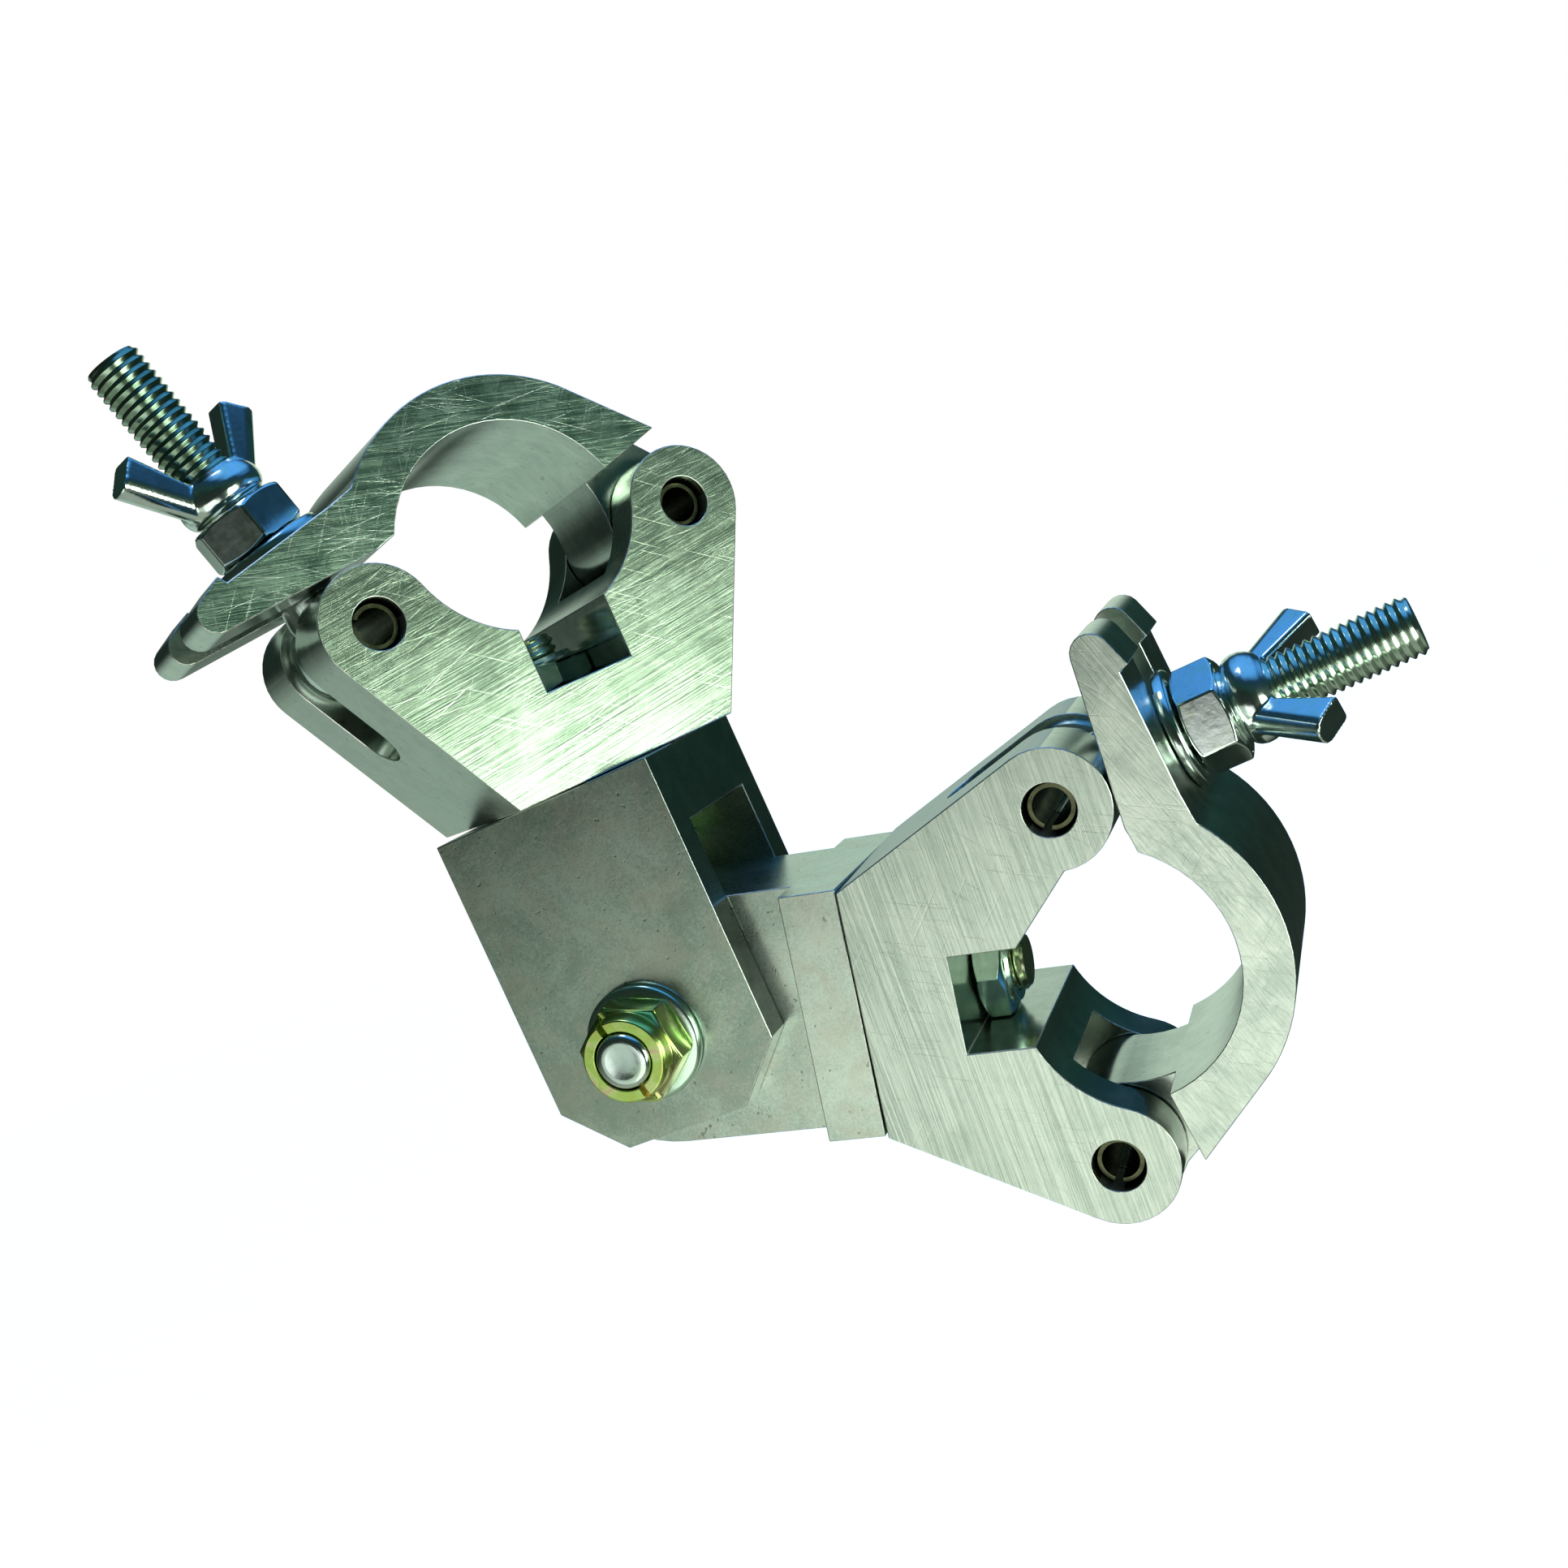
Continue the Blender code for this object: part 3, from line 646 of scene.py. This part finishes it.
def body_piece(node, body, place, materials, sort_face):
    """A node's own shape in its coupler's frame, with a finish for each kind of face and bright edges."""
    source = frame["nodes"][node].data
    mesh = bmesh.new()
    mesh.from_mesh(source)
    bmesh.ops.transform(mesh, matrix=place.inverted(), verts=mesh.verts)
    bmesh.ops.remove_doubles(mesh, verts=mesh.verts, dist=2e-6)
    bmesh.ops.dissolve_limit(mesh, angle_limit=math.radians(0.4), verts=mesh.verts, edges=mesh.edges)
    outwards(mesh)
    for face in mesh.faces:
        face.material_index = sort_face(face.normal, face.calc_center_median() / MM)
    piece = new_piece(node + "_finished", mesh, place, body, [node], materials + [BURR])
    soften(piece, EDGE, angle=32.0, material=len(materials))
    flatten(piece)


def is_sawn_end(normal, centre):
    """Faces out along Y, at one of the two ends of the extrusion."""
    return abs(normal.y) > 0.9 and abs(centre.y) > HALF_WIDTH - 0.5


def is_milled(normal):
    """Anything else that doesn't run along the extrusion was milled."""
    return abs(normal.y) > 0.05


def coupler_face(normal, centre):
    """0 for a sawn end, 1 for an outer flank, 2 for a milled slot or bore, 3 for the rest."""
    if is_sawn_end(normal, centre):
        return 0
    if is_milled(normal):
        return 2
    if centre.z < -PIN_DROP and abs(normal.x) > 0.6 and abs(centre.x) > FLANK_START:
        return 1
    return 3


def arm_face(normal, centre):
    """0 for a sawn end, 1 for a milled slot, 2 for the rest."""
    if is_sawn_end(normal, centre):
        return 0
    return 1 if is_milled(normal) else 2


def block_face(normal, centre):
    """0 for the satin sides, 1 for the extruded ones."""
    return 0 if abs(normal.y) > 0.7 else 1


# ---------------------------------------------------------------- fasteners

def hex_blank(height, turn_by, chamfer_low=True, chamfer_high=True):
    """A hexagon with its corners turned off at one or both ends."""
    flat = ACROSS_FLATS / 2.0         # the circle inside the hexagon
    corner = ACROSS_FLATS / math.sqrt(3.0) + 0.05     # just outside its corners
    bevel_start = flat - 0.35
    drop = (corner - flat + 0.3) * math.tan(math.radians(HEX_CHAMFER))
    low = [(0.0, 0.0), (corner, 0.0)]
    if chamfer_low:
        low = [(0.0, 0.0), (bevel_start, 0.0), (corner, drop)]
    high = [(corner, height), (0.0, height)]
    if chamfer_high:
        high = [(corner, height - drop), (bevel_start, height), (0.0, height)]
    bar = upright(prism(hexagon(turn_by), 0.0, height))
    return carved(bar, [("INTERSECT", turned(low + high, 96))])


def wing_blade():
    """One wing in X and Z: flat sides, a flat tip and a well-rounded outer edge."""
    half = 2.9                # half of the wing's thickness
    layers = 14
    rounding = 2.6
    tip_trim = 0.7
    trim_start = 0.8          # share of the half thickness where the inner edge is trimmed
    trim_span = 0.2
    outer_low = Vector((8.0, 10.0))
    outer_high = Vector((19.8, 22.6))
    inner_low = Vector((5.0, 15.6))
    inner_high = Vector((13.4, 27.9))
    inwards = (inner_high - outer_high).normalized()
    mesh = bmesh.new()
    rings = []
    for i in range(layers + 1):
        y = -half + 2.0 * half * i / layers
        share = abs(y) / half
        cut = rounding * (1.0 - math.sqrt(max(0.0, 1.0 - share * share)))
        trim = tip_trim * max(0.0, share - trim_start) / trim_span
        outline = [Vector((3.0, 10.6)), outer_low + cut * inwards, outer_high + cut * inwards,
                   inner_high - trim * inwards, inner_low - trim * inwards]
        rings.append([vertex(mesh, x, y, z) for x, z in outline])
    bridge(mesh, rings)
    mesh.faces.new(rings[0])
    mesh.faces.new(list(reversed(rings[-1])))
    return outwards(mesh)


def wing_nut(side, wing_turn):
    """A wing nut in two pieces: its hexagon, and its hub with both wings."""
    hexagon_top = 8.9
    hub_top = 17.2
    place = BOLT[side] @ move(z=WING_BASE)
    body = "wing_nut_" + side
    blank = hex_blank(hexagon_top, -wing_turn)
    bored = [("DIFFERENCE", rod(BORE, -1.0, 30.0))]
    base = new_piece("wing_nut_hexagon_" + side, carved(blank, bored), place, body,
                     ["wing_nut_" + side], [ZINC])
    soften(base, 0.45, segments=3, angle=25.0)
    hub = [(0.0, hexagon_top - 0.4), (7.6, hexagon_top - 0.4), (7.4, hexagon_top + 0.5),
           (8.2, hexagon_top + 1.0), (8.8, hexagon_top + 1.9), (9.1, hexagon_top + 3.2),
           (9.0, hexagon_top + 4.6), (8.5, hexagon_top + 5.9), (7.8, hexagon_top + 7.0),
           (6.9, hub_top - 0.5), (6.4, hub_top), (0.0, hub_top)]
    steps = [("UNION", rotated(wing_blade(), wing_turn + half_turn, "Z")) for half_turn in (0.0, 180.0)]
    steps.append(("DIFFERENCE", rod(BORE, -1.0, 30.0)))
    forged = carved(turned(hub, 64), steps, remesh=0.30, smooth=4)
    new_piece("wing_nut_wings_" + side, forged, place, body, ["wing_nut_" + side], [ZINC], 60.0)


def washer(name, place, body, node, material):
    """A punched washer, whose upper rim is the rounder one."""
    outer = WASHER_RADIUS - 0.02
    inner = BORE + 0.3
    top = WASHER_THICK
    profile = [(inner, 0.15), (inner + 0.15, 0.0), (outer - 0.25, 0.0), (outer, 0.35), (outer, top - 0.65),
               (outer - 0.25, top - 0.25), (outer - 0.8, top), (inner + 0.3, top), (inner, top - 0.2)]
    new_piece(name, turned(profile, 96), place, body, [node], [material])


def eye_bolt(side):
    """An eye bolt in two pieces: its thread, and its eye with the neck."""
    body = "eye_bolt_" + side
    place = BOLT[side]
    node = ["eye_bolt_" + side]
    new_piece("eye_bolt_thread_" + side, threaded_rod(THREAD_START, EYE_BOLT_LENGTH), place, body, node,
              [ZINC_THREAD_AND_SHADE[side]], 50.0)
    eye = turned([(0.0, -6.2), (8.4, -6.2), (9.7, -5.4), (10.2, -4.0), (10.25, 0.0), (10.2, 4.0),
                  (9.7, 5.4), (8.4, 6.2), (0.0, 6.2)], 64)
    eye = rotated(eye, -90.0, "X")
    bore = rotated(rod(5.15, -12.0, 12.0), -90.0, "X")
    neck = turned([(0.0, 4.0), (7.0, 4.0), (6.6, 9.5), (5.85, 13.0), (5.8, 18.5), (0.0, 18.5)], 48)
    new_piece("eye_bolt_eye_" + side, carved(eye, [("UNION", neck), ("DIFFERENCE", bore)]), place, body,
              node, [ZINC], 40.0)


def spring_pin(name, side, offset):
    """A slotted spring pin with chamfered ends, a little short of both faces."""
    stations = ((-22.0, 4.45), (-21.2, 4.84), (21.2, 4.84), (22.0, 4.45))     # height, outer radius
    inner = 3.65
    gap = 11.0                # half of the slot, in degrees
    sides = 48
    mesh = bmesh.new()
    rings = []
    for height, outer in stations:
        ring = []
        for radius, way in ((outer, 1), (inner, -1)):
            for i in range(sides + 1):
                share = i / sides if way == 1 else 1.0 - i / sides
                angle = math.radians(PIN_OPENING[name] + gap + (360.0 - 2.0 * gap) * share)
                x, z = around(radius, angle)
                ring.append(vertex(mesh, x, height, z))
        rings.append(ring)
    bridge(mesh, rings)
    for ring in (rings[0], rings[-1]):
        last = len(ring) - 1
        for i in range(sides):
            mesh.faces.new((ring[i], ring[i + 1], ring[last - i - 1], ring[last - i]))
    new_piece(name + "_rolled", outwards(mesh), COUPLER[side] @ move(offset, 0.0, -PIN_DROP),
              "coupler_" + side, [name], [SPRING_STEEL_AND_SHADE])


def mount_nut(side):
    """The slit lock nut that stands on the floor of the nut pocket."""
    hexagon_top = 5.8
    top = 7.0
    place = COUPLER[side] @ move(z=POCKET_FLOOR + GAP)
    collar = turned([(0.0, 3.0), (8.3, 3.0), (8.3, 6.2), (7.7, top), (0.0, top)], 64)
    slit = prism([(0.8, 4.7), (12.0, 4.7), (12.0, 5.05), (0.8, 5.05)], -12.0, 2.0)
    slit = rotated(slit, 0.0 if side == "a" else 180.0, "Z")
    steps = [("UNION", collar), ("DIFFERENCE", slit), ("DIFFERENCE", rod(BORE, -1.0, 12.0))]
    nut = carved(hex_blank(hexagon_top, 30.0), steps)
    piece = new_piece("mount_nut_slit_" + side, nut, place, "coupler_" + side, ["mount_nut_" + side],
                      [GREEN_ZINC_AND_LIGHT])
    soften(piece, 0.12)


def mount_bolt(side):
    """The mounting bolt: its thread in the pocket, and its shank and head inside the knuckle."""
    body = "coupler_" + side
    node = ["mount_bolt_" + side]
    end = POCKET_FLOOR + BOLT_STAND[side]
    new_piece("mount_bolt_thread_" + side, threaded_rod(MOUNT_THREAD_END, end), COUPLER[side], body, node,
              [GREEN_GOLD], 50.0)
    if side == "a":
        head_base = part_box("mount_bolt_" + side)[0].z / MM
        shank = rod(THREAD_MAJOR, 7.0, MOUNT_THREAD_END - head_base + 0.5)
        head = carved(hex_blank(7.5, 30.0, True, False), [("UNION", shank)])
        place = COUPLER[side] @ move(z=head_base)
        piece = new_piece("mount_bolt_head_a", head, place, body, node, [GOLD_ZINC])
        soften(piece, 0.25)
        return
    seat = BASE - 2.0 * GAP - COUNTERBORE_FLOOR
    profile = [(0.0, seat - 12.0), (8.2, seat - 12.0), (8.95, seat - 11.2), (8.95, seat),
               (THREAD_MAJOR, seat), (THREAD_MAJOR, -41.0), (0.0, -41.0)]
    socket = upright(prism(hexagon(0.0, SOCKET_ACROSS), seat - 14.0, seat - 6.0))
    head = carved(turned(profile, 64), [("DIFFERENCE", socket)])
    piece = new_piece("mount_bolt_head_b", head, COUPLER[side], body, node, [GOLD_ZINC])
    soften(piece, 0.2)


def pivot_hardware():
    """The knuckle's bolt in two pieces, a washer at each end, and the slit lock nut."""
    near = PIVOT @ turn(90.0, "X")
    far = PIVOT @ turn(-90.0, "X")
    face = HALF_WIDTH + GAP
    seat = face + WASHER_THICK + GAP
    washer("pivot_nut_washer_turned", near @ move(z=face), "clevis", "pivot_nut_washer", GREEN_ZINC_AND_LIGHT)
    washer("pivot_head_washer_turned", far @ move(z=face), "clevis", "pivot_head_washer", ZINC)
    shank = rod(THREAD_MAJOR, -60.0, 1.0)
    head = carved(hex_blank(7.4, 30.0, False, True), [("UNION", shank)])
    bolt = new_piece("pivot_bolt_head", head, far @ move(z=seat), "clevis", ["pivot_bolt"], [ZINC])
    soften(bolt, 0.3)
    end = PIVOT_BOLT_END
    tip = [(0.0, 24.0), (5.8, 24.0), (5.8, end - 1.5), (5.3, end - 0.5), (4.6, end - 0.1),
           (3.4, end - 0.25), (0.0, end - 0.45)]
    new_piece("pivot_bolt_tip", turned(tip, 64), near, "clevis", ["pivot_bolt"], [ZINC], 40.0)
    top = 7.0                 # the top of the nut's hexagon
    rim = 10.3                # the top of its collar
    slit_half = 0.6
    collar = turned([(0.0, top - 2.0), (9.0, top - 2.0), (9.0, top - 0.1), (8.8, top + 0.8),
                     (8.5, rim - 0.4), (8.2, rim), (0.0, rim)], 72)
    slit = prism([(-12.0, top - 0.6), (12.0, top - 0.6), (12.0, rim + 2.0), (-12.0, rim + 2.0)],
                 -slit_half, slit_half)
    slit = rotated(slit, SLIT_TURN, "Z")
    steps = [("UNION", collar), ("DIFFERENCE", slit), ("DIFFERENCE", rod(BORE, -1.0, 14.0))]
    nut = carved(hex_blank(top, NUT_TURN), steps)
    piece = new_piece("pivot_lock_nut_turned", nut, near @ move(z=seat), "clevis", ["pivot_lock_nut"],
                      [GOLD_ZINC])
    soften(piece, 0.2, angle=32.0)


# ---------------------------------------------------------------- assembly

def build_object():
    """Both couplers with their fasteners, then the clevis, the tongue and their bolt."""
    for side in "ab":
        place = COUPLER[side]
        saddle_finishes = [SAWN[side], FLANK, MILLED, DRAWN]
        body_piece("saddle_" + side, "coupler_" + side, place, saddle_finishes, coupler_face)
        body_piece("clamp_arm_" + side, "arm_" + side, place, [SAWN_ARM[side], MILLED, DRAWN], arm_face)
        eye_bolt(side)
        washer("clamp_washer_turned_" + side, BOLT[side] @ move(z=CLAMP_WASHER_BASE), "washer_" + side,
               "clamp_washer_" + side, ZINC)
        wing_nut(side, WING_TURN[side])
        spring_pin("hinge_pin_" + side, side, PIN_OFFSET)
        spring_pin("eye_pin_" + side, side, -PIN_OFFSET)
        mount_nut(side)
        mount_bolt(side)
    body_piece("clevis", "clevis", PIVOT, [CLEVIS_FACE, CLEVIS_SIDE], block_face)
    up_tongue = COUPLER["b"].to_3x3() @ Vector((0.0, 0.0, 1.0))
    tilt = frame_from(PIVOT.translation, up_tongue, (0.0, 1.0, 0.0))
    body_piece("tongue_block", "tongue", tilt, [TONGUE_FACE, TONGUE_FACE], block_face)
    pivot_hardware()


# ---------------------------------------------------------------- stage, light and camera

def make_world():
    """White to the camera, and a studio of dark and light walls under a blue ceiling to all else."""
    world = bpy.data.worlds.new("studio")
    bpy.context.scene.world = world
    world.use_nodes = True
    tree = world.node_tree
    tree.nodes.clear()
    way = add_node(tree, "ShaderNodeTexCoord").outputs["Generated"]

    def along(direction):
        """How far the way that is looked runs along a direction, from -1 to 1."""
        dot = add_node(tree, "ShaderNodeVectorMath", operation="DOT_PRODUCT")
        dot.inputs[1].default_value = direction
        tree.links.new(way, dot.inputs[0])
        return dot.outputs["Value"]

    def lobe(direction, inner, outer, colour, below):
        """Blend a patch of colour, full to inner degrees and gone at outer, over what is below it."""
        share = add_node(tree, "ShaderNodeMapRange", interpolation_type="SMOOTHSTEP")
        share.inputs["From Min"].default_value = math.cos(math.radians(outer))
        share.inputs["From Max"].default_value = math.cos(math.radians(inner))
        tree.links.new(along(Vector(direction).normalized()), share.inputs["Value"])
        blend = add_node(tree, "ShaderNodeMix", data_type="RGBA")
        blend.inputs[MIX_SECOND].default_value = (*colour, 1.0)
        tree.links.new(share.outputs["Result"], blend.inputs[MIX_SHARE])
        tree.links.new(below, blend.inputs[MIX_FIRST])
        return blend.outputs[MIX_RESULT]

    height = add_node(tree, "ShaderNodeMapRange")
    height.inputs["From Min"].default_value = -1.0
    tree.links.new(along(STUDIO @ Vector((0.0, 1.0, 0.0))), height.inputs["Value"])
    ramp = add_node(tree, "ShaderNodeValToRGB")
    fill_ramp(ramp, [(0.5 + 0.5 * position, colour) for position, colour in WALLS])
    tree.links.new(height.outputs["Result"], ramp.inputs["Fac"])
    shade = ramp.outputs["Color"]
    for direction, inner, outer, colour in LOBES:
        shade = lobe(STUDIO @ Vector(direction), inner, outer, colour, shade)
    room = add_node(tree, "ShaderNodeBackground")
    tree.links.new(shade, room.inputs["Color"])
    paper = add_node(tree, "ShaderNodeBackground")
    paper.inputs["Color"].default_value = (1.0, 1.0, 1.0, 1.0)
    path = add_node(tree, "ShaderNodeLightPath")
    choose = add_node(tree, "ShaderNodeMixShader")
    tree.links.new(path.outputs["Is Camera Ray"], choose.inputs["Fac"])
    tree.links.new(room.outputs["Background"], choose.inputs[1])
    tree.links.new(paper.outputs["Background"], choose.inputs[2])
    tree.links.new(choose.outputs["Shader"], add_node(tree, "ShaderNodeOutputWorld").inputs["Surface"])


def make_card(name, centre, size, tilt, glow, colour):
    """A soft rectangular light in front of the object; glow is its brightness where it is reflected."""
    data = bpy.data.lights.new(name, "AREA")
    data.shape = "RECTANGLE"
    data.size, data.size_y = size
    data.energy = WATTS_PER_GLOW * glow * size[0] * size[1]
    data.color = colour
    lamp = add_object(name, data)
    place = (STUDIO @ Matrix.Rotation(math.radians(tilt), 3, "Z")).to_4x4()
    place.translation = MIDDLE + STUDIO @ Vector(centre)
    lamp.matrix_world = place
    lamp.visible_camera = False


def make_stage():
    """A white floor below the object, which isn't seen in reflections."""
    mesh = bmesh.new()
    bmesh.ops.create_grid(mesh, x_segments=1, y_segments=1, size=FLOOR_REACH)
    floor = object_from("studio_floor", mesh)
    floor.location = (0.0, 0.0, FLOOR_HEIGHT)
    paper = bpy.data.materials.new("white_paper")
    paper.use_nodes = True
    shader = paper.node_tree.nodes["Principled BSDF"]
    shader.inputs["Base Color"].default_value = (0.9, 0.9, 0.9, 1.0)
    shader.inputs["Roughness"].default_value = 0.9
    shader.inputs["Emission Color"].default_value = (1.0, 1.0, 1.0, 1.0)
    shader.inputs["Emission Strength"].default_value = 0.9
    floor.data.materials.append(paper)
    floor.visible_glossy = False


def make_camera():
    data = bpy.data.cameras.new("camera")
    data.lens = CAMERA_LENS
    data.sensor_width = 36.0
    data.clip_start = 0.01
    camera = add_object("camera", data)
    camera.location = CAMERA_PLACE
    camera.rotation_euler = CAMERA_TURN
    bpy.context.scene.camera = camera


build_object()
make_world()
make_stage()
for card in CARDS:
    make_card(*card)
make_camera()
bpy.context.scene.view_settings.view_transform = "Standard"
bpy.context.view_layer.update()
